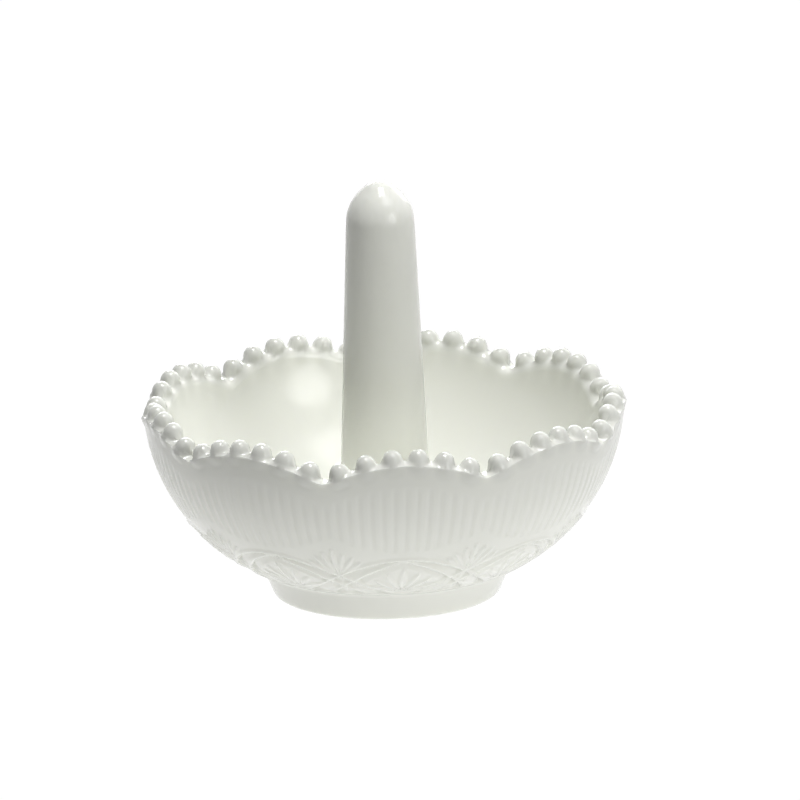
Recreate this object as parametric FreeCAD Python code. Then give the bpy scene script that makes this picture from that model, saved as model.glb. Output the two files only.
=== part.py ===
import FreeCAD, Part
import math
import os

# Ring dish of pressed opal glass: a footed bowl with a scalloped, beaded rim and a post for finger rings.
# It stands on z = 0 about the z axis, and one scallop faces -y. Lengths are millimetres, angles degrees.

# Bowl
RIM_RADIUS = 50.5           # outside of the glass at the top of a scallop
RIM_HEIGHT = 41.1           # edge of the glass there, above the table
RIM_THICKNESS = 4.4
WALL_BULGE = 6.4            # how far the outside bows out from a straight line between foot and rim
FLOOR_HEIGHT = 8.2          # inside floor, above the table
FLOOR_MARGIN = 2.0          # flat floor around the root of the post

# Scallops of the rim, and the beads that stand along them
SCALLOPS = 9
SCALLOP_DROP = 4.1          # how far the edge dips between two scallops
BEADS = 6                   # on each scallop
BEAD_CROWDING_SHARE = 0.975  # of an even spacing, which leaves a wider gap at each dip
BEAD_RADIUS = 2.1
BEAD_LIFT = 0.6             # centre of a bead above the edge of the glass
BEAD_SETBACK = 0.1          # outermost point of a bead behind the outside of the glass

# Reeded band: upright grooves between narrow reeds
GROOVES = 14                # on each scallop
GROOVE_RADIUS = 0.5
GROOVE_DEPTH = 0.25
PLAIN_BAND = 5.2            # smooth glass between the edge and the reeds
REED_FOOT_HEIGHT = 19.8     # lower end of the reeds in the middle of a scallop, above the table
REED_FOOT_RISE = 3.8        # how much higher it is below a dip

# Pressed pattern of the lower wall: crossing arches, pointed arches, fans and half daisies
RELIEF_HEIGHT = 0.5
RELIEF_ROOT = 0.4           # how far the raised glass is rooted in the wall
PATTERN_MARGIN = 1.6        # plain glass between the foot and the pattern's border
LINE_WIDTH = 0.5
ARCH_RADIUS = 21.2
ARCH_TOP_HEIGHT = 17.7
POINTED_ARCH_RADIUS = 22.4
POINTED_ARCH_SPREAD = 5.5   # sideways shift of each of its two arcs from the middle
POINTED_ARCH_TOP_HEIGHT = 16.8
PETAL_WIDTH = 0.8
PETAL_START = 1.0           # distance of a petal from the point that it springs from
FAN_HEIGHT = 13.7           # that point, above the table
FAN_PETAL_LENGTH = 7.4
FAN_PETAL_ANGLE = 15.0      # between two petals
FAN_PETAL_SHARES = (0.82, 0.93, 0.98, 1.0, 0.98, 0.93, 0.82)
DAISY_HEIGHT = 8.6
DAISY_PETAL_LENGTH = 7.6
DAISY_PETAL_ANGLE = 20.0
DAISY_PETAL_SHARES = (0.62, 0.74, 0.88, 1.0, 0.88, 0.74, 0.62)

# Foot ring
FOOT_HEIGHT = 6.0
FOOT_TOP_RADIUS = 26.2
FOOT_BASE_RADIUS = 24.1
FOOT_RIM_WIDTH = 4.6        # glass between the bore and the outside, at the table
FOOT_EDGE_ROUND = 1.0

# Register under the bowl that centres the foot ring
REGISTER_DEPTH = 1.8
REGISTER_CLEARANCE = 0.1

# Post
POST_HEIGHT = 88.6          # tip, above the table
POST_ROOT_RADIUS = 9.95
POST_DRAFT = 2.2            # taper of each side
TIP_SLOPE = 48.0            # of the cone below the nose
NOSE_RADIUS = 4.5
SHOULDER_ROUND = 9.3
TENON_RADIUS = 6.0
TENON_LENGTH = 2.4
SOCKET_CLEARANCE = 0.1
SOCKET_END_GAP = 0.2

CUT_OVERRUN = 5.0           # how far a cutting shape runs past what it cuts
FULL_TURN = 360.0
RIGHT_ANGLE = 90.0

ORIGIN = FreeCAD.Vector(0, 0, 0)
OUT = FreeCAD.Vector(1, 0, 0)
ASIDE = FreeCAD.Vector(0, 1, 0)
UP = FreeCAD.Vector(0, 0, 1)

SECTOR = FULL_TURN / SCALLOPS
FOOT_BORE_RADIUS = FOOT_BASE_RADIUS - FOOT_RIM_WIDTH
BEAD_CIRCLE_RADIUS = RIM_RADIUS - BEAD_SETBACK - BEAD_RADIUS
REACH = RIM_RADIUS + BEAD_RADIUS + CUT_OVERRUN


def in_section(radius, height):
    """Point of the section that is turned about the axis."""
    return FreeCAD.Vector(radius, 0, height)


def polar(centre, radius, angle):
    """Point of the section on a circle, with the angle counted up from the outward direction."""
    turn = math.radians(angle)
    return centre + FreeCAD.Vector(math.cos(turn), 0, math.sin(turn)) * radius


def line(start, end):
    return Part.LineSegment(start, end).toShape()


def arc_about(centre, radius, start_angle, end_angle):
    middle = polar(centre, radius, (start_angle + end_angle) / 2)
    ends = polar(centre, radius, start_angle), polar(centre, radius, end_angle)
    return Part.Arc(ends[0], middle, ends[1]).toShape()


def path(points):
    return [line(start, end) for start, end in zip(points, points[1:])]


def turned(edges, angle=FULL_TURN):
    """Solid made by turning a closed section about the axis, half of the angle to each side of it."""
    section = Part.Face(Part.Wire(edges))
    section.rotate(ORIGIN, UP, -angle / 2)
    return section.revolve(ORIGIN, UP, angle)


def around(shape, angle):
    copy = shape.copy()
    copy.rotate(ORIGIN, UP, angle)
    return copy


def outside_arc():
    """Outside of the wall in section, bowed out from the line between the foot and the rim."""
    foot_corner = in_section(FOOT_TOP_RADIUS, FOOT_HEIGHT)
    rim_corner = in_section(RIM_RADIUS, RIM_HEIGHT)
    chord = rim_corner - foot_corner
    outward = FreeCAD.Vector(chord.z, 0, -chord.x).normalize()
    middle = (foot_corner + rim_corner) / 2 + outward * WALL_BULGE
    return Part.Arc(foot_corner, middle, rim_corner).toShape()


WALL = outside_arc()
WALL_CENTRE = WALL.Curve.Center
WALL_RADIUS = WALL.Curve.Radius
SCALLOP_HALF_WIDTH = RIM_RADIUS * math.sin(math.radians(SECTOR / 2))
SCALLOP_RADIUS = (SCALLOP_HALF_WIDTH ** 2 + SCALLOP_DROP ** 2) / (2 * SCALLOP_DROP)


def wall_angle(height):
    """Angle about the centre of the wall's arc at which the outside has this height."""
    return math.degrees(math.asin((height - WALL_CENTRE.z) / WALL_RADIUS))


def edge_height(angle):
    """Height of the rim's edge at an angle from the middle of a scallop."""
    aside = BEAD_CIRCLE_RADIUS * math.sin(math.radians(angle))
    return RIM_HEIGHT - SCALLOP_RADIUS + math.sqrt(SCALLOP_RADIUS ** 2 - aside ** 2)


def inside_arc():
    """Inside of the wall in section: it leaves the flat floor level and rises to the rim."""
    rim_corner = in_section(RIM_RADIUS - RIM_THICKNESS, RIM_HEIGHT)
    floor_corner = in_section(POST_ROOT_RADIUS + FLOOR_MARGIN, FLOOR_HEIGHT)
    span = rim_corner - floor_corner
    radius = (span.x ** 2 + span.z ** 2) / (2 * span.z)
    centre = floor_corner + UP * radius
    rim_angle = math.degrees(math.atan2(rim_corner.z - centre.z, rim_corner.x - centre.x))
    return arc_about(centre, radius, rim_angle, -RIGHT_ANGLE), rim_corner, floor_corner


def plain_sector():
    """One scallop's share of the bowl before it is trimmed and decorated."""
    inside, rim_corner, floor_corner = inside_arc()
    socket_radius = TENON_RADIUS + SOCKET_CLEARANCE
    socket_floor = FLOOR_HEIGHT - TENON_LENGTH - SOCKET_END_GAP
    register_radius = FOOT_BORE_RADIUS - REGISTER_CLEARANCE
    underside = FOOT_HEIGHT - REGISTER_DEPTH
    floor = path([
        floor_corner,
        in_section(socket_radius, FLOOR_HEIGHT),
        in_section(socket_radius, socket_floor),
        in_section(0, socket_floor),
        in_section(0, underside),
        in_section(register_radius, underside),
        in_section(register_radius, FOOT_HEIGHT),
        in_section(FOOT_TOP_RADIUS, FOOT_HEIGHT),
    ])
    rim = line(in_section(RIM_RADIUS, RIM_HEIGHT), rim_corner)
    return turned([WALL, rim, inside] + floor, SECTOR)


def radial_cylinder(radius, aside, height):
    return Part.makeCylinder(radius, REACH, FreeCAD.Vector(0, aside, height), OUT)


def beads():
    """Beads of one scallop, with their centres a little above its edge."""
    spacing = BEAD_CROWDING_SHARE * SECTOR / BEADS
    made = []
    for number in range(BEADS):
        angle = (number - (BEADS - 1) / 2) * spacing
        centre = in_section(BEAD_CIRCLE_RADIUS, edge_height(angle) + BEAD_LIFT)
        made.append(around(Part.makeSphere(BEAD_RADIUS, centre), angle))
    return made


def groove(angle):
    """Round-bottomed groove that follows the curve of the wall at an angle from the middle of a scallop."""
    low_angle = wall_angle(REED_FOOT_HEIGHT + REED_FOOT_RISE * (2 * angle / SECTOR) ** 2)
    top_angle = wall_angle(edge_height(angle) - PLAIN_BAND)
    low_end = polar(WALL_CENTRE, WALL_RADIUS + GROOVE_RADIUS - GROOVE_DEPTH, low_angle)
    along = polar(ORIGIN, 1, low_angle + RIGHT_ANGLE)
    section = Part.Face(Part.Wire(Part.makeCircle(GROOVE_RADIUS, low_end, along)))
    cutter = section.revolve(WALL_CENTRE, -ASIDE, top_angle - low_angle)
    return around(cutter, angle)


def grooves():
    """Grooves of one scallop; the first and the last lie at its dips, half in the neighbouring scallop."""
    spacing = SECTOR / GROOVES
    return [groove((number - GROOVES / 2) * spacing) for number in range(GROOVES + 1)]


def relief_skin(low_height, top_height):
    """Layer over the wall between two heights, as thick as the relief and rooted in the glass."""
    low = wall_angle(low_height)
    top = wall_angle(top_height)
    outer_radius = WALL_RADIUS + RELIEF_HEIGHT
    inner_radius = WALL_RADIUS - RELIEF_ROOT
    outline = [
        arc_about(WALL_CENTRE, outer_radius, low, top),
        line(polar(WALL_CENTRE, outer_radius, top), polar(WALL_CENTRE, inner_radius, top)),
        arc_about(WALL_CENTRE, inner_radius, top, low),
        line(polar(WALL_CENTRE, inner_radius, low), polar(WALL_CENTRE, outer_radius, low)),
    ]
    return turned(outline, SECTOR)


def arch():
    """Round arch line, seen along the radius."""
    height = ARCH_TOP_HEIGHT - ARCH_RADIUS
    outer = radial_cylinder(ARCH_RADIUS, 0, height)
    return outer.cut(radial_cylinder(ARCH_RADIUS - LINE_WIDTH, 0, height))


def pointed_opening(radius, height):
    sides = [radial_cylinder(radius, aside, height) for aside in (POINTED_ARCH_SPREAD, -POINTED_ARCH_SPREAD)]
    return sides[0].common(sides[1])


def pointed_arch():
    """Pointed arch line inside a round one: two arcs that meet in the middle."""
    height = POINTED_ARCH_TOP_HEIGHT - math.sqrt(POINTED_ARCH_RADIUS ** 2 - POINTED_ARCH_SPREAD ** 2)
    outer = pointed_opening(POINTED_ARCH_RADIUS, height)
    return outer.cut(pointed_opening(POINTED_ARCH_RADIUS - LINE_WIDTH, height))


def petal(length, lean, height):
    """Leaf-shaped petal above a point on the middle line, leaning to one side of it."""
    base = UP * PETAL_START
    tip = UP * length
    middle = (base + tip) / 2
    bow = ASIDE * (PETAL_WIDTH / 2)
    sides = [Part.Arc(base, middle + bow, tip).toShape(), Part.Arc(tip, middle - bow, base).toShape()]
    leaf = Part.Face(Part.Wire(sides)).extrude(OUT * REACH)
    leaf.rotate(ORIGIN, OUT, lean)
    leaf.translate(UP * height)
    return leaf


def petals(length, shares, spread, height):
    middle = (len(shares) - 1) / 2
    return [petal(length * share, (number - middle) * spread, height) for number, share in enumerate(shares)]


def pattern():
    """Raised lines of one scallop's share of the lower wall; its neighbours' arches reach into it."""
    drawn = []
    for neighbour in (-SECTOR, 0, SECTOR):
        drawn.append(around(arch(), neighbour))
        drawn.append(around(pointed_arch(), neighbour))
    drawn += petals(DAISY_PETAL_LENGTH, DAISY_PETAL_SHARES, DAISY_PETAL_ANGLE, DAISY_HEIGHT)
    for side in (-SECTOR / 2, SECTOR / 2):
        fan = petals(FAN_PETAL_LENGTH, FAN_PETAL_SHARES, FAN_PETAL_ANGLE, FAN_HEIGHT)
        drawn += [around(leaf, side) for leaf in fan]
    low = FOOT_HEIGHT + PATTERN_MARGIN
    skin = relief_skin(low, REED_FOOT_HEIGHT + REED_FOOT_RISE)
    border = relief_skin(low, low + LINE_WIDTH)
    return [border] + [skin.common(shape) for shape in drawn]


def bowl():
    scallop = radial_cylinder(SCALLOP_RADIUS, 0, RIM_HEIGHT - SCALLOP_RADIUS)
    sector = plain_sector().common(scallop)
    sector = sector.fuse(beads() + pattern()).cut(grooves())
    sectors = [around(sector, number * SECTOR - RIGHT_ANGLE) for number in range(SCALLOPS)]
    return sectors[0].fuse(sectors[1:]).removeSplitter().Solids[0]


def foot_ring():
    ring = turned(path([
        in_section(FOOT_BORE_RADIUS, 0),
        in_section(FOOT_BASE_RADIUS, 0),
        in_section(FOOT_TOP_RADIUS, FOOT_HEIGHT),
        in_section(FOOT_BORE_RADIUS, FOOT_HEIGHT),
        in_section(FOOT_BORE_RADIUS, 0),
    ]))
    table_edges = [edge for edge in ring.Edges if edge.BoundBox.ZMax < FOOT_HEIGHT / 2]
    return ring.makeFillet(min(FOOT_EDGE_ROUND, FOOT_RIM_WIDTH / 3), table_edges).Solids[0]


def ring_post():
    draft = math.radians(POST_DRAFT)
    slope = math.radians(TIP_SLOPE)
    root = in_section(POST_ROOT_RADIUS, FLOOR_HEIGHT)
    rise = FreeCAD.Vector(-math.sin(draft), 0, math.cos(draft))
    climb = FreeCAD.Vector(-math.sin(slope), 0, math.cos(slope))
    nose_centre = in_section(0, POST_HEIGHT - NOSE_RADIUS)
    nose_foot = polar(nose_centre, NOSE_RADIUS, TIP_SLOPE)
    # The straight side and the cone meet at a corner, which the shoulder rounds off.
    gap = nose_foot - root
    side_length = (gap.x * climb.z - gap.z * climb.x) / (rise.x * climb.z - rise.z * climb.x)
    corner = root + rise * side_length
    setback = SHOULDER_ROUND * math.tan((slope - draft) / 2)
    shoulder_centre = corner - rise * setback - FreeCAD.Vector(rise.z, 0, -rise.x) * SHOULDER_ROUND
    side = path([
        in_section(0, FLOOR_HEIGHT - TENON_LENGTH),
        in_section(TENON_RADIUS, FLOOR_HEIGHT - TENON_LENGTH),
        in_section(TENON_RADIUS, FLOOR_HEIGHT),
        root,
        corner - rise * setback,
    ])
    shoulder = arc_about(shoulder_centre, SHOULDER_ROUND, POST_DRAFT, TIP_SLOPE)
    cone = line(corner + climb * setback, nose_foot)
    nose = arc_about(nose_centre, NOSE_RADIUS, TIP_SLOPE, RIGHT_ANGLE)
    axis = line(in_section(0, POST_HEIGHT), in_section(0, FLOOR_HEIGHT - TENON_LENGTH))
    return turned(side + [shoulder, cone, nose, axis]).Solids[0]


os.makedirs("parts", exist_ok=True)
for name, shape in (("bowl", bowl()), ("foot_ring", foot_ring()), ("ring_post", ring_post())):
    shape.exportStep("parts/" + name + ".step")
    print(name, "valid", shape.isValid(), "volume", round(shape.Volume, 1), "faces", len(shape.Faces))
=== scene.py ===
"""Ring dish of pressed opal glass in a white studio: a beaded, patterned bowl, its foot and its post."""
import math

import bpy
import numpy as np
from mathutils import Matrix, Vector


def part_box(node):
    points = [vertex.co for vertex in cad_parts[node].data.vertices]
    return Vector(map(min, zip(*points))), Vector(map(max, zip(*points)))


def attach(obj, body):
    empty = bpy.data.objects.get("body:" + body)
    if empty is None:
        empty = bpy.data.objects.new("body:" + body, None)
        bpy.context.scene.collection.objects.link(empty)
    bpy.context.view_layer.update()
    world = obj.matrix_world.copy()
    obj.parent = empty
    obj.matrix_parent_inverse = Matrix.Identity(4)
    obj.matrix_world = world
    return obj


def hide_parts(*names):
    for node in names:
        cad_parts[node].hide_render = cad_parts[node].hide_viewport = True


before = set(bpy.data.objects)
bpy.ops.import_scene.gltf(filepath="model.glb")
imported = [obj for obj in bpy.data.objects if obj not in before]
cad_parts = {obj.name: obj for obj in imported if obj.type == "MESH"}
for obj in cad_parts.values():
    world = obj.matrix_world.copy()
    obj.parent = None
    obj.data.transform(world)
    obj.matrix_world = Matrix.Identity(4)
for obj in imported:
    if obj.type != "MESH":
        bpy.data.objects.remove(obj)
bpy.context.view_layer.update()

MM = 0.001
FULL_TURN = 2 * math.pi

# Sizes read from the solids
bowl_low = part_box("bowl")[0]
foot_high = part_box("foot_ring")[1]
post_low, post_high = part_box("ring_post")
FOOT_RADIUS = foot_high.x
FOOT_HEIGHT = foot_high.z
POST_ROOT_RADIUS = post_high.x
POST_TOP = post_high.z
TENON_END = post_low.z
UNDERSIDE = bowl_low.z

# Bowl
RIM_RADIUS = 50.5 * MM
RIM_HEIGHT = 41.1 * MM
RIM_THICKNESS = 4.4 * MM
WALL_BULGE = 6.4 * MM
FLOOR_HEIGHT = 8.2 * MM
FLOOR_MARGIN = 2.0 * MM
SOCKET_RADIUS = 6.1 * MM
SOCKET_FLOOR = 5.6 * MM
REGISTER_RADIUS = 19.4 * MM

# Scallops and beads
SCALLOPS = 9
SECTOR = FULL_TURN / SCALLOPS
SCALLOP_DROP = 4.1 * MM
DIP_ROUND = 0.8 * MM
BEADS = 6
BEAD_CROWDING_SHARE = 0.975
BEAD_RADIUS = 2.05 * MM
BEAD_LIFT = 0.6 * MM
BEAD_SETBACK = 0.1 * MM
BEAD_FILLET = 0.42 * MM
EDGE_ROUND = 0.35 * MM
EDGE_FOOT = 0.4 * MM

# Reeded band
REEDS = 14
REED_FOOT = 19.8 * MM
REED_FOOT_RISE = 3.8 * MM
PLAIN_BAND = 5.2 * MM
REED_GROOVE = 0.18 * MM
REED_FADE = 1.2 * MM

# Pressed pattern of the lower wall
LIP_RISE = 0.3 * MM
LIP_SLOPE = 0.9 * MM
LIP_DROP = 0.6 * MM
HOLLOW_DEPTH = 0.55 * MM
HOLLOW_END = 2.3 * MM
BORDER_HEIGHT = 7.85 * MM
BORDER_HALF_WIDTH = 0.5 * MM
ARCH_RADIUS = 21.2 * MM
ARCH_TOP = 18.2 * MM
POINTED_ARCH_RADIUS = 22.4 * MM
POINTED_ARCH_SPREAD = 5.5 * MM
POINTED_ARCH_TOP = 17.8 * MM
PETAL_RISE = 0.3 * MM
PETAL_START = 1.0 * MM
PETAL_COUNT = 7
PETAL_LEAST_WIDTH = 1e-6 * MM
PETAL_OUTWARD_POWER = 1.3   # over 1: the widest place lies past the middle
PETAL_FULLNESS_POWER = 0.8  # under 1: fuller than a plain leaf
FAN_FOOT = 13.7 * MM
FAN_REACH = 9.6 * MM
FAN_SHORTENING_SHARE = 0.05
FAN_PETAL_TURN = math.radians(15)
FAN_PETAL_HALF_WIDTH = 0.7 * MM
DAISY_FOOT = 8.6 * MM
DAISY_REACH = 11.4 * MM
DAISY_SHORTENING_SHARE = 0.11
DAISY_PETAL_TURN = math.radians(20)
DAISY_PETAL_HALF_WIDTH = 0.85 * MM

# How finely the bowl is divided
REED_COLUMNS = 6
COLUMNS = REED_COLUMNS * REEDS * SCALLOPS
PATTERN_ROWS = 76
PATTERN_TOP = 24.0 * MM
REED_ROWS = 9
BAND_ROWS = 6
CAP_ROWS = 20
CAP_DEPTH = 1.6 * MM
CAP_STEP = 0.001 * MM
INNER_ROWS = 14

# Foot ring
FOOT_BASE_RADIUS = 24.1 * MM
FOOT_BORE = 19.5 * MM
FOOT_EDGE_ROUND = 1.0 * MM
FOOT_COVE = 2.2 * MM
FOOT_BORE_ROWS = 6
FOOT_EDGE_ROWS = 8
FOOT_COVE_ROWS = 8
FOOT_STEPS = 180

# Post
POST_DRAFT = math.radians(2.2)
TIP_SLOPE = math.radians(48)
NOSE_RADIUS = 4.5 * MM
SHOULDER_ROUND = 9.3 * MM
TENON_RADIUS = 6.0 * MM
ROOT_FLARE = 1.0 * MM
FLARE_ROWS = 6
SIDE_ROWS = 12
SHOULDER_ROWS = 12
NOSE_ROWS = 12
POST_STEPS = 144

# All meshes
MERGE_DISTANCE = 0.001 * MM
SHARP_EDGE = math.radians(50)

# Glass
BODY_COLOUR = "#f0f1ea"
CLOUD_COLOUR = "#ecede6"
# Greyer tint for the beads and the rim edge beside them: partly thinner glass, partly painted shade over
# their lit tops.
BEAD_THIN_AND_SHADE_COLOUR = "#ddded8"
BEAD_THIN_AND_SHADE = "bead_thin_and_shade"     # name of the values that mark the beads and the edge beside them
BEAD_THIN_AND_SHADE_REACH = 2.6 * MM
CLOUD_SIZE = 30 * MM
RIPPLE_SIZE = 7 * MM
RIPPLE_DEPTH = 0.2 * MM
GLOW_DEPTH = 1.0 * MM
JOINT_NO_GLOW = 2.4 * MM      # distances above and below the foot's joint
JOINT_FULL_GLOW = 4.4 * MM

# Studio
WHITE = "#ffffff"
FLOOR_COLOUR = "#bcbcbc"
FLOOR_SIZE = 4.0
FLOOR_GLOW = 0.73
FLOOR_GLOW_RADIUS = 105 * MM
FLOOR_WHITE = 1.03
FLOOR_WHITE_SHARE = 0.95
LAMP_TARGET = Vector((0, 0, 40 * MM))
LAMP_DISTANCE = 1.0

# Camera
CAMERA_AZIMUTH = -5.13
CAMERA_ELEVATION = 15.44
CAMERA_ROLL = math.radians(-1.07)
CAMERA_DISTANCE = 2.7
CAMERA_AIM_ASIDE = 3.43 * MM
CAMERA_AIM_HEIGHT = 41.1 * MM
CAMERA_REACH = 20.0
SENSOR_WIDTH = 36.0
FRAME_PIXELS = 800
PIXELS_PER_METRE = 4770.0


def shares(count, first=0):
    """Even steps from 0 to 1; a stretch that goes on from another one starts at its second step."""
    return [number / count for number in range(first, count + 1)]


def arc_points(centre, radius, start, end, count):
    """Points of a section on an arc; angles are counted up from the outward direction."""
    turns = [start + (end - start) * share for share in shares(count)]
    return [(centre[0] + radius * math.cos(turn), centre[1] + radius * math.sin(turn)) for turn in turns]


# The wall is one arc from the foot to the rim outside, and one arc from the floor to the rim inside
chord = Vector((RIM_RADIUS - FOOT_RADIUS, RIM_HEIGHT - FOOT_HEIGHT))
WALL_RADIUS = ((chord.length / 2) ** 2 + WALL_BULGE ** 2) / (2 * WALL_BULGE)
inward = Vector((-chord.y, chord.x)).normalized()
wall_centre = Vector((FOOT_RADIUS, FOOT_HEIGHT)) + chord / 2 + inward * (WALL_RADIUS - WALL_BULGE)
FLOOR_RADIUS = POST_ROOT_RADIUS + FLOOR_MARGIN
inner_span = RIM_RADIUS - RIM_THICKNESS - FLOOR_RADIUS
inner_rise = RIM_HEIGHT - FLOOR_HEIGHT
INNER_RADIUS = (inner_span ** 2 + inner_rise ** 2) / (2 * inner_rise)
SCALLOP_HALF_WIDTH = RIM_RADIUS * math.sin(SECTOR / 2)
SCALLOP_RADIUS = (SCALLOP_HALF_WIDTH ** 2 + SCALLOP_DROP ** 2) / (2 * SCALLOP_DROP)
BEAD_CIRCLE = RIM_RADIUS - BEAD_SETBACK - BEAD_RADIUS


def wall_turn(height):
    """Angle below level, about the centre of the wall's arc, of a place on the outside."""
    return np.arcsin((wall_centre.y - height) / WALL_RADIUS)


def wall_radius(height):
    """Radius of the outside at a height."""
    return wall_centre.x + WALL_RADIUS * np.cos(wall_turn(height))


def inner_turn(height):
    """Angle below level, about the centre of the inside's arc, of a place on the inside."""
    return np.arcsin((FLOOR_HEIGHT + INNER_RADIUS - height) / INNER_RADIUS)


def inner_wall(turn):
    """Radius and height of a place on the inside."""
    return FLOOR_RADIUS + INNER_RADIUS * np.cos(turn), FLOOR_HEIGHT + INNER_RADIUS * (1 - np.sin(turn))


def inner_radius(height):
    """Radius of the inside at a height."""
    return inner_wall(inner_turn(height))[0]


def wall_middle(height):
    """Radius halfway through the wall at a height."""
    return (wall_radius(height) + inner_radius(height)) / 2


def from_middle(angle, period, offset=0.0):
    """Angle from the nearest of the evenly spaced middles."""
    return (angle - offset + period / 2) % period - period / 2


def edge_height(angle):
    """Height of the rim's edge, scallop by scallop, with the dips between them softened."""
    aside = RIM_RADIUS * np.sin(np.abs(from_middle(angle, SECTOR)))
    to_dip = SCALLOP_HALF_WIDTH - aside
    aside = SCALLOP_HALF_WIDTH - (np.sqrt(to_dip ** 2 + DIP_ROUND ** 2) - DIP_ROUND)
    return RIM_HEIGHT - SCALLOP_RADIUS + np.sqrt(SCALLOP_RADIUS ** 2 - aside ** 2)


def ridge(distance, half_width):
    """Round ridge: 1 on its line, 0 from its half width on."""
    return np.clip(1 - (distance / half_width) ** 2, 0, 1)


def step_up(value, length):
    """Soft step from 0 to 1 over a length."""
    share = np.clip(value / length, 0, 1)
    return share * share * (3 - 2 * share)


def above_arch(angle, height, radius, spread, top):
    """Distance on the wall above the line of an arch, which is drawn as seen along the radius."""
    turn = wall_turn(height)
    aside = wall_radius(height) * np.sin(angle)
    across = np.abs(aside) + spread
    above = height - top + math.sqrt(radius ** 2 - spread ** 2)
    reach = np.hypot(across, above)
    level_slope = across / reach * np.cos(angle)
    rising_slope = above / reach * np.cos(turn) + across / reach * np.abs(np.sin(angle)) * np.sin(turn)
    return (reach - radius) / np.hypot(level_slope, rising_slope)


def petals(angle, height, foot, reach, shortening, spread, half_width):
    """Leaf-shaped petals that fan out on the wall above a point; the outer ones are shorter."""
    aside = wall_radius(height) * np.sin(angle)
    above = WALL_RADIUS * (wall_turn(foot) - wall_turn(height))
    length = np.hypot(aside, above)
    lean = np.arctan2(aside, above)
    number = np.clip(np.round(lean / spread), -(PETAL_COUNT // 2), PETAL_COUNT // 2)
    own_reach = reach * (1 - shortening * np.abs(number))
    along = np.clip((length - PETAL_START) / (own_reach - PETAL_START), 0, 1)
    leaf = np.sin(math.pi * along ** PETAL_OUTWARD_POWER) ** PETAL_FULLNESS_POWER
    width = half_width * leaf + PETAL_LEAST_WIDTH
    return ridge((lean - number * spread) * length, width) * (along > 0) * (along < 1)


def laid_over(under, share, rise):
    """A form laid over the relief under it; its share is 1 on its crest and 0 at its edges."""
    return under * (1 - share) + rise * share


def pattern(angle, height):
    """Rise of the pressed pattern: lipped arches over hollows, half daisies, fans and a border line."""
    own = from_middle(angle, SECTOR)
    lip = np.zeros_like(own)
    hollow = np.zeros_like(own)
    for neighbour in (-SECTOR, 0, SECTOR):
        round_arch = above_arch(own - neighbour, height, ARCH_RADIUS, 0, ARCH_TOP)
        pointed_arch = above_arch(own - neighbour, height, POINTED_ARCH_RADIUS, POINTED_ARCH_SPREAD,
                                  POINTED_ARCH_TOP)
        for above in (round_arch, pointed_arch):
            lip = np.maximum(lip, np.interp(above, (-LIP_DROP, 0, LIP_SLOPE), (0, 1, 0)))
            hollow = np.maximum(hollow, np.interp(above, (-HOLLOW_END, -LIP_DROP, 0), (0, 1, 0)))
    daisy = petals(own, height, DAISY_FOOT, DAISY_REACH, DAISY_SHORTENING_SHARE, DAISY_PETAL_TURN,
                   DAISY_PETAL_HALF_WIDTH)
    at_dip = from_middle(angle, SECTOR, SECTOR / 2)
    fan = petals(at_dip, height, FAN_FOOT, FAN_REACH, FAN_SHORTENING_SHARE, FAN_PETAL_TURN,
                 FAN_PETAL_HALF_WIDTH)
    rise = laid_over(-HOLLOW_DEPTH * hollow, lip, LIP_RISE)
    rise = laid_over(rise, np.maximum(daisy, fan), PETAL_RISE) * (height > BORDER_HEIGHT)
    from_border = WALL_RADIUS * (wall_turn(BORDER_HEIGHT) - wall_turn(height))
    return laid_over(rise, ridge(from_border, BORDER_HALF_WIDTH), LIP_RISE)


def reeds(angle, height):
    """Depth of the reeds: rounded ribs that meet in narrow grooves and fade out above and below."""
    pitch = SECTOR / REEDS
    off = np.abs(from_middle(angle, pitch, pitch / 2)) * 2 / pitch
    band = edge_height(angle) - PLAIN_BAND
    low = REED_FOOT + REED_FOOT_RISE * (from_middle(angle, SECTOR) * 2 / SECTOR) ** 2
    inside = step_up(band - height, REED_FADE) * step_up(height - low, REED_FADE)
    return -REED_GROOVE * inside * off ** 2


def around_axis(angle, radius, height):
    """Section points set round the axis; angle 0 faces the front."""
    height = np.broadcast_to(height, angle.shape)
    radius = np.broadcast_to(radius, angle.shape)
    return np.stack([radius * np.sin(angle), -radius * np.cos(angle), height], axis=1)


def lifted_wall(angle, height):
    """A row of the outside with its pattern and reeds."""
    turn = wall_turn(height)
    reach = WALL_RADIUS + pattern(angle, height) + reeds(angle, height)
    return around_axis(angle, wall_centre.x + reach * np.cos(turn), wall_centre.y - reach * np.sin(turn))


def bead_middles():
    """Angle and height of the middle of each bead."""
    spacing = BEAD_CROWDING_SHARE * SECTOR / BEADS
    number = np.arange(SCALLOPS * BEADS)
    angle = number // BEADS * SECTOR + (number % BEADS - (BEADS - 1) / 2) * spacing
    return angle, edge_height(angle) + BEAD_LIFT


def bead_distances(angle, radius, height):
    """Distance of each place from the surface of each bead."""
    bead_angle, bead_height = bead_middles()
    across = 2 * BEAD_CIRCLE * radius[:, None] * np.cos(angle[:, None] - bead_angle)
    level_square = radius[:, None] ** 2 + BEAD_CIRCLE ** 2 - across
    return np.sqrt(level_square + (height[:, None] - bead_height) ** 2) - BEAD_RADIUS


def rim_distance(angle, radius, height, base):
    """Distance from the rim: the wall, with its inside edge rolled over, and the beads, with fillets."""
    roll = CAP_DEPTH * (radius < wall_middle(base))
    level = np.minimum(height, base - roll)
    aside = np.abs(radius - wall_middle(level)) * 2 / (wall_radius(level) - inner_radius(level))
    edge = EDGE_ROUND + roll
    wall = (np.hypot(aside, (height - level) / edge) - 1) * edge
    beads = bead_distances(angle, radius, height)
    return -BEAD_FILLET * np.log(np.exp(-wall / BEAD_FILLET) + np.exp(-beads / BEAD_FILLET).sum(axis=1))


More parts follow.
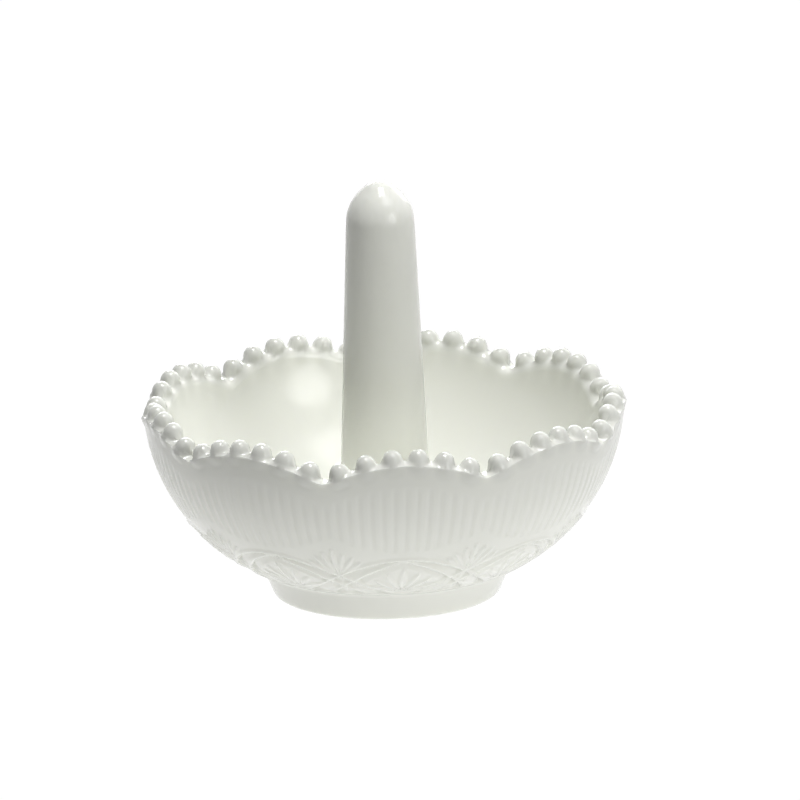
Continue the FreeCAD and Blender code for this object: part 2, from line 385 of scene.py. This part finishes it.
def rim_cap(angle, base):
    """Rows over the rim from the outside to the inside, each found by halving steps out from the wall."""
    middle = wall_middle(base)
    start = -math.atan(CAP_DEPTH * 2 / RIM_THICKNESS)
    rows = []
    for share in shares(CAP_ROWS):
        turn = start + (math.pi - 2 * start) * share
        reach = np.zeros_like(angle)
        step = 2 * BEAD_RADIUS
        while step > CAP_STEP:
            radius = middle + (reach + step) * math.cos(turn)
            height = base + (reach + step) * math.sin(turn)
            reach = reach + step * (rim_distance(angle, radius, height, base) < 0)
            step = step / 2
        rows.append(around_axis(angle, middle + reach * math.cos(turn), base + reach * math.sin(turn)))
    return rows


def underside_rows(angle):
    """Underside from the axis out to the seat of the foot ring."""
    section = ((0, UNDERSIDE), (REGISTER_RADIUS, UNDERSIDE), (REGISTER_RADIUS, FOOT_HEIGHT))
    return [around_axis(angle, radius, height) for radius, height in section]


def outside_rows(angle):
    """Outside of the bowl from the foot up to the beads, and over them."""
    base = edge_height(angle) - EDGE_FOOT
    band = edge_height(angle) - PLAIN_BAND
    rows = []
    for share in shares(PATTERN_ROWS):
        turn = wall_turn(FOOT_HEIGHT) * (1 - share) + wall_turn(PATTERN_TOP) * share
        height = np.full_like(angle, wall_centre.y - WALL_RADIUS * math.sin(turn))
        rows.append(lifted_wall(angle, height))
    for share in shares(REED_ROWS, 1):
        rows.append(lifted_wall(angle, PATTERN_TOP * (1 - share) + band * share))
    for share in shares(BAND_ROWS, 1)[:-1]:
        rows.append(lifted_wall(angle, band * (1 - share) + (base - CAP_DEPTH) * share))
    return rows + rim_cap(angle, base)


def inside_rows(angle):
    """Inside of the bowl from the beads down to the floor, and the socket of the post."""
    top_turn = inner_turn(edge_height(angle) - EDGE_FOOT - CAP_DEPTH)
    socket = ((SOCKET_RADIUS, FLOOR_HEIGHT), (SOCKET_RADIUS, SOCKET_FLOOR), (0, SOCKET_FLOOR))
    rows = []
    for share in shares(INNER_ROWS, 1):
        radius, height = inner_wall(top_turn * (1 - share) + math.pi / 2 * share)
        rows.append(around_axis(angle, radius, height))
    for radius, height in socket:
        rows.append(around_axis(angle, radius, height))
    return rows


def pick_none():
    """Nothing is selected, so that the next operator acts on the new piece alone."""
    bpy.ops.object.select_all(action="DESELECT")


def finish_mesh(piece):
    """Doubles are merged, and faces point outwards and shade smoothly."""
    bpy.ops.object.mode_set(mode="EDIT")
    bpy.ops.mesh.select_all(action="SELECT")
    bpy.ops.mesh.remove_doubles(threshold=MERGE_DISTANCE)
    bpy.ops.mesh.normals_make_consistent(inside=False)
    bpy.ops.object.mode_set(mode="OBJECT")
    bpy.ops.object.shade_smooth_by_angle(angle=SHARP_EDGE)
    return piece


def pressed_bowl():
    """A flat grid whose lines are laid from the axis below, up the outside, over the rim and down inside
    to the axis; its two side edges meet and are merged. Values on it mark the beads and the rim edge beside
    them for a greyer tint: painted shade, partly thinner glass."""
    angle = np.arange(COLUMNS + 1) * FULL_TURN / COLUMNS
    rows = underside_rows(angle) + outside_rows(angle) + inside_rows(angle)
    pick_none()
    bpy.ops.mesh.primitive_grid_add(x_subdivisions=COLUMNS, y_subdivisions=len(rows) - 1, size=1)
    bowl = bpy.context.object
    bowl.name = "pressed_bowl"
    places = np.concatenate(rows)
    bowl.data.vertices.foreach_set("co", places.astype(np.float32).ravel())
    # Share of the greyer tint, full on the beads and fading over the rim edge beside them: painted shade,
    # partly thinner glass.
    around = np.arctan2(places[:, 0], -places[:, 1])
    to_bead = bead_distances(around, np.hypot(places[:, 0], places[:, 1]), places[:, 2]).min(axis=1)
    thin_and_shade = bowl.data.attributes.new(BEAD_THIN_AND_SHADE, "FLOAT", "POINT")
    thin_and_shade.data.foreach_set("value", 1 - step_up(to_bead, BEAD_THIN_AND_SHADE_REACH).astype(np.float32))
    return finish_mesh(bowl)


def turned_piece(name, section, steps):
    """A line drawn point by point in section and spun round the axis."""
    pick_none()
    bpy.ops.mesh.primitive_plane_add(size=MM)
    piece = bpy.context.object
    piece.name = name
    bpy.ops.object.mode_set(mode="EDIT")
    bpy.ops.mesh.select_mode(type="VERT")
    bpy.ops.mesh.merge(type="CENTER")
    at = Vector((0, 0, 0))
    for number, (radius, height) in enumerate(section):
        to = Vector((radius, 0, height))
        if number == 0:
            bpy.ops.transform.translate(value=to - at)
        else:
            bpy.ops.mesh.extrude_region_move(TRANSFORM_OT_translate={"value": to - at})
        at = to
    bpy.ops.mesh.select_all(action="SELECT")
    bpy.ops.mesh.spin(steps=steps, angle=FULL_TURN, center=(0, 0, 0), axis=(0, 0, 1))
    bpy.ops.object.mode_set(mode="OBJECT")
    return finish_mesh(piece)


def plain_foot():
    """Tapered foot with rounded edges at the table and a hollow curve where it meets the bowl."""
    slope = math.atan2(FOOT_RADIUS - FOOT_BASE_RADIUS, FOOT_HEIGHT)
    turn = wall_turn(FOOT_HEIGHT)
    up_wall = Vector((math.sin(turn), math.cos(turn)))
    down_foot = Vector((-math.sin(slope), -math.cos(slope)))
    half_angle = up_wall.angle(down_foot) / 2
    corner = Vector((FOOT_RADIUS, FOOT_HEIGHT))
    cove_centre = corner + (up_wall + down_foot).normalized() * FOOT_COVE / math.sin(half_angle)
    low_centre = (FOOT_BASE_RADIUS - FOOT_EDGE_ROUND, FOOT_EDGE_ROUND)
    bore_centre = (FOOT_BORE + FOOT_EDGE_ROUND, FOOT_EDGE_ROUND)
    section = arc_points(bore_centre, FOOT_EDGE_ROUND, -math.pi, -math.pi / 2, FOOT_BORE_ROWS)
    section += arc_points(low_centre, FOOT_EDGE_ROUND, -math.pi / 2, -slope, FOOT_EDGE_ROWS)
    section += arc_points(cove_centre, FOOT_COVE, math.pi - slope, math.pi - turn, FOOT_COVE_ROWS)
    section += [(FOOT_RADIUS, FOOT_HEIGHT), (FOOT_BORE, FOOT_HEIGHT), section[0]]
    return turned_piece("plain_foot", section, FOOT_STEPS)


def tapered_post():
    """Post with its draft, a rounded shoulder, a coned tip, a round nose and a small flare at its root."""
    flare_centre = (POST_ROOT_RADIUS + ROOT_FLARE, FLOOR_HEIGHT + ROOT_FLARE)
    nose_centre = (0, POST_TOP - NOSE_RADIUS)
    nose_foot = Vector(nose_centre) + Vector((math.cos(TIP_SLOPE), math.sin(TIP_SLOPE))) * NOSE_RADIUS
    rise = Vector((-math.sin(POST_DRAFT), math.cos(POST_DRAFT)))
    climb = Vector((-math.sin(TIP_SLOPE), math.cos(TIP_SLOPE)))
    root = Vector((POST_ROOT_RADIUS, FLOOR_HEIGHT))
    gap = nose_foot - root
    side = (gap.x * climb.y - gap.y * climb.x) / (rise.x * climb.y - rise.y * climb.x)
    corner = root + rise * side
    shoulder = corner - rise * SHOULDER_ROUND * math.tan((TIP_SLOPE - POST_DRAFT) / 2)
    shoulder_centre = shoulder - Vector((rise.y, -rise.x)) * SHOULDER_ROUND
    section = [(0, TENON_END), (TENON_RADIUS, TENON_END), (TENON_RADIUS, FLOOR_HEIGHT)]
    section += arc_points(flare_centre, ROOT_FLARE, -math.pi / 2, -math.pi + POST_DRAFT, FLARE_ROWS)
    start = Vector(section[-1])
    section += [tuple(start.lerp(shoulder, share)) for share in shares(SIDE_ROWS, 1)[:-1]]
    section += arc_points(shoulder_centre, SHOULDER_ROUND, POST_DRAFT, TIP_SLOPE, SHOULDER_ROWS)
    section += arc_points(nose_centre, NOSE_RADIUS, TIP_SLOPE, math.pi / 2, NOSE_ROWS)
    return turned_piece("tapered_post", section, POST_STEPS)


def linear(code):
    """sRGB hex colour as linear values."""
    values = [int(code[place:place + 2], 16) / 255 for place in (1, 3, 5)]
    return tuple(v / 12.92 if v <= 0.04045 else ((v + 0.055) / 1.055) ** 2.4 for v in values) + (1.0,)


def add(tree, kind, inputs=None, **settings):
    """Adds a node with its settings; an input is a value or another node's output."""
    made = tree.nodes.new(kind)
    for name, value in settings.items():
        setattr(made, name, value)
    for name, value in (inputs or {}).items():
        if isinstance(value, bpy.types.NodeSocket):
            tree.links.new(value, made.inputs[name])
        else:
            made.inputs[name].default_value = value
    return made


def opal_glass():
    """Opal glass, pressed and fire-polished: a dense, faintly cloudy white body that light enters a little,
    under a clear glossy skin with the soft ripples that the press leaves. The beads and the rim edge beside
    them are tinted greyer:
    partly thinner glass, partly painted shade over their lit tops. Low down, around its joints with the
    foot and the post, the glass is too thick to glow."""
    material = bpy.data.materials.new("opal_glass")
    material.use_nodes = True
    tree = material.node_tree
    tree.nodes.clear()
    place = add(tree, "ShaderNodeTexCoord").outputs["Object"]
    cloud = add(tree, "ShaderNodeTexNoise", {"Vector": place, "Scale": 1 / CLOUD_SIZE, "Detail": 2.0})
    body = add(tree, "ShaderNodeMix", {
        "Factor": cloud.outputs["Fac"],
        "A": linear(BODY_COLOUR),
        "B": linear(CLOUD_COLOUR),
    }, data_type="RGBA")
    # Painted shade on the beads and the rim edge beside them, partly for their thinner glass: the colour is
    # mixed towards a grey.
    thin_and_shade = add(tree, "ShaderNodeAttribute", attribute_name=BEAD_THIN_AND_SHADE)
    tint = add(tree, "ShaderNodeMix", {
        "Factor": thin_and_shade.outputs["Fac"],
        "A": body.outputs["Result"],
        "B": linear(BEAD_THIN_AND_SHADE_COLOUR),
    }, data_type="RGBA")
    height = add(tree, "ShaderNodeSeparateXYZ", {"Vector": place}).outputs["Z"]
    from_joint = add(tree, "ShaderNodeMath", {0: height, 1: FOOT_HEIGHT}, operation="SUBTRACT")
    gap = add(tree, "ShaderNodeMath", {0: from_joint.outputs[0]}, operation="ABSOLUTE")
    glow = add(tree, "ShaderNodeMapRange", {
        "Value": gap.outputs[0],
        "From Min": JOINT_NO_GLOW,
        "From Max": JOINT_FULL_GLOW,
    })
    ripple = add(tree, "ShaderNodeTexNoise", {"Vector": place, "Scale": 1 / RIPPLE_SIZE, "Detail": 1.0})
    skin = add(tree, "ShaderNodeBump", {
        "Height": ripple.outputs["Fac"],
        "Strength": 0.25,
        "Distance": RIPPLE_DEPTH,
    })
    glass = add(tree, "ShaderNodeBsdfPrincipled", {
        "Base Color": tint.outputs["Result"],
        "Roughness": 0.16,
        "IOR": 1.5,
        "Subsurface Weight": glow.outputs["Result"],
        "Subsurface Radius": (1.0, 1.0, 1.0),
        "Subsurface Scale": GLOW_DEPTH,
        "Normal": skin.outputs["Normal"],
    })
    add(tree, "ShaderNodeOutputMaterial", {"Surface": glass.outputs["BSDF"]})
    return material


def background_seen(tree):
    """1 for the rays by which the camera, gloss and clear glass see the background, and 0 for its light."""
    path = add(tree, "ShaderNodeLightPath").outputs
    direct = add(tree, "ShaderNodeMath", {0: path["Is Camera Ray"], 1: path["Is Glossy Ray"]},
                 operation="MAXIMUM")
    seen = add(tree, "ShaderNodeMath", {0: direct.outputs[0], 1: path["Is Transmission Ray"]},
               operation="MAXIMUM")
    return seen.outputs[0]


def studio_floor():
    """Sheet of white acrylic, lit from below around the dish, as for table-top pictures. Its glow falls off
    with the distance from the dish. The camera sees it white, so that the dish's shadow hardly shows."""
    pick_none()
    bpy.ops.mesh.primitive_plane_add(size=FLOOR_SIZE)
    floor = bpy.context.object
    floor.name = "studio_floor"
    material = bpy.data.materials.new("lit_acrylic")
    material.use_nodes = True
    tree = material.node_tree
    tree.nodes.clear()
    place = add(tree, "ShaderNodeTexCoord").outputs["Object"]
    distance = add(tree, "ShaderNodeVectorMath", {0: place}, operation="LENGTH").outputs["Value"]
    reach = add(tree, "ShaderNodeMath", {0: distance, 1: FLOOR_GLOW_RADIUS}, operation="DIVIDE")
    square = add(tree, "ShaderNodeMath", {0: reach.outputs[0], 1: 2.0}, operation="POWER")
    fall = add(tree, "ShaderNodeMath", {0: square.outputs[0], 1: 1.0}, operation="ADD")
    level = add(tree, "ShaderNodeMath", {0: FLOOR_GLOW, 1: fall.outputs[0]}, operation="DIVIDE")
    sheet = add(tree, "ShaderNodeBsdfDiffuse", {"Color": linear(FLOOR_COLOUR)})
    glow = add(tree, "ShaderNodeEmission", {"Color": linear(WHITE), "Strength": level.outputs[0]})
    lit = add(tree, "ShaderNodeAddShader", {0: sheet.outputs[0], 1: glow.outputs[0]})
    white = add(tree, "ShaderNodeEmission", {"Color": linear(WHITE), "Strength": FLOOR_WHITE})
    share = add(tree, "ShaderNodeMath", {0: background_seen(tree), 1: FLOOR_WHITE_SHARE},
                operation="MULTIPLY")
    look = add(tree, "ShaderNodeMixShader", {0: share.outputs[0], 1: lit.outputs[0], 2: white.outputs[0]})
    add(tree, "ShaderNodeOutputMaterial", {"Surface": look.outputs[0]})
    floor.data.materials.append(material)


def studio_world():
    """Dark room; the camera and the gloss see white."""
    world = bpy.data.worlds.new("studio")
    bpy.context.scene.world = world
    world.use_nodes = True
    tree = world.node_tree
    tree.nodes.clear()
    white = add(tree, "ShaderNodeBackground", {
        "Color": linear(WHITE),
        "Strength": background_seen(tree),
    })
    add(tree, "ShaderNodeOutputWorld", {"Surface": white.outputs[0]})


def direction(azimuth, elevation):
    """Direction from the dish, in degrees; azimuth 0 is the front and 90 the right."""
    turn = math.radians(azimuth)
    rise = math.radians(elevation)
    return Vector((math.sin(turn) * math.cos(rise), -math.cos(turn) * math.cos(rise), math.sin(rise)))


def soft_box(name, azimuth, elevation, size, watts):
    """Round lamp that faces the dish."""
    away = direction(azimuth, elevation)
    pick_none()
    bpy.ops.object.light_add(type="AREA", location=LAMP_TARGET + away * LAMP_DISTANCE)
    lamp = bpy.context.object
    lamp.name = name
    lamp.data.shape = "DISK"
    lamp.data.size = size
    lamp.data.energy = watts
    lamp.rotation_euler = away.to_track_quat("Z", "Y").to_euler()


def camera():
    """Long lens, a little above the dish and left of the scallop that faces the front."""
    away = direction(CAMERA_AZIMUTH, CAMERA_ELEVATION)
    look = away.to_track_quat("Z", "Y").to_matrix() @ Matrix.Rotation(CAMERA_ROLL, 3, "Z")
    aim = Vector((0, 0, CAMERA_AIM_HEIGHT)) + look.col[0] * CAMERA_AIM_ASIDE
    pick_none()
    bpy.ops.object.camera_add(location=aim + away * CAMERA_DISTANCE, rotation=look.to_euler())
    made = bpy.context.object
    made.data.sensor_width = SENSOR_WIDTH
    made.data.lens = PIXELS_PER_METRE * CAMERA_DISTANCE * SENSOR_WIDTH / FRAME_PIXELS
    made.data.clip_end = CAMERA_REACH
    bpy.context.scene.camera = made


camera()
glass = opal_glass()
pieces = ((pressed_bowl(), "bowl"), (plain_foot(), "foot_ring"), (tapered_post(), "ring_post"))
for piece, node in pieces:
    piece.data.materials.append(glass)
    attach(piece, "root")
    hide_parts(node)

studio_floor()
studio_world()
soft_box("overhead", azimuth=60, elevation=87, size=0.32, watts=7.4)
soft_box("backdrop", azimuth=180, elevation=20, size=0.5, watts=4.0)
soft_box("front_window", azimuth=37, elevation=16, size=0.44, watts=2.0)
soft_box("high_window", azimuth=40, elevation=62, size=0.5, watts=1.8)
soft_box("back_window", azimuth=140, elevation=30, size=0.7, watts=1.8)
bpy.context.scene.view_settings.view_transform = "Standard"
